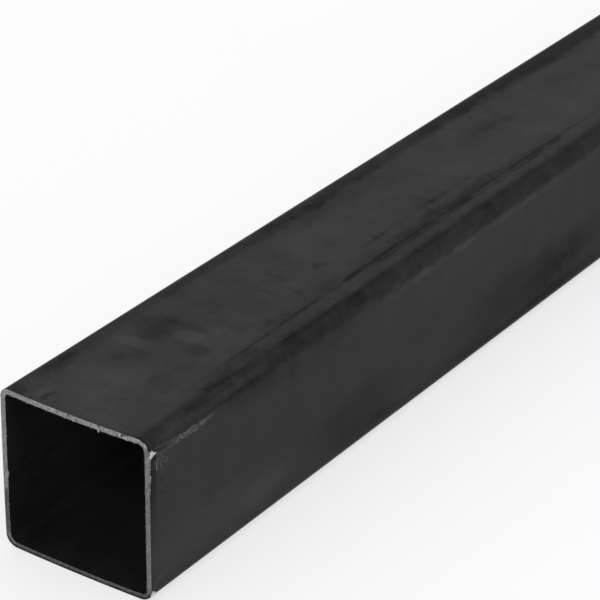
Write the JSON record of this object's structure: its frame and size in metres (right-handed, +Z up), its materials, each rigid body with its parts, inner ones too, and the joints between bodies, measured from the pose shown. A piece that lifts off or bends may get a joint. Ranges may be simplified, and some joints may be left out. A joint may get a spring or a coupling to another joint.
{
  "type": "square metal tube",
  "caption": "Straight square hollow section of mill-finish steel, with rounded corners, thin even walls, an inside weld bead and both ends sawn square.",
  "frame": {"origin": "middle of the underside, at half the length", "axes": "+X along the tube, +Y towards the wall with the weld seam, +Z up out of the side opposite the one it lies on"},
  "size_m": [1, 0.05, 0.05],
  "materials": {
    "mill_steel": "dark oily mill skin from the rolls, smudged, with rubbed corners",
    "sawn_steel": "bare grey steel with saw marks and burrs, on the cut ends"
  },
  "bodies": {
    "root": {"square_tube": "mill_steel"}
  },
  "joints": []
}
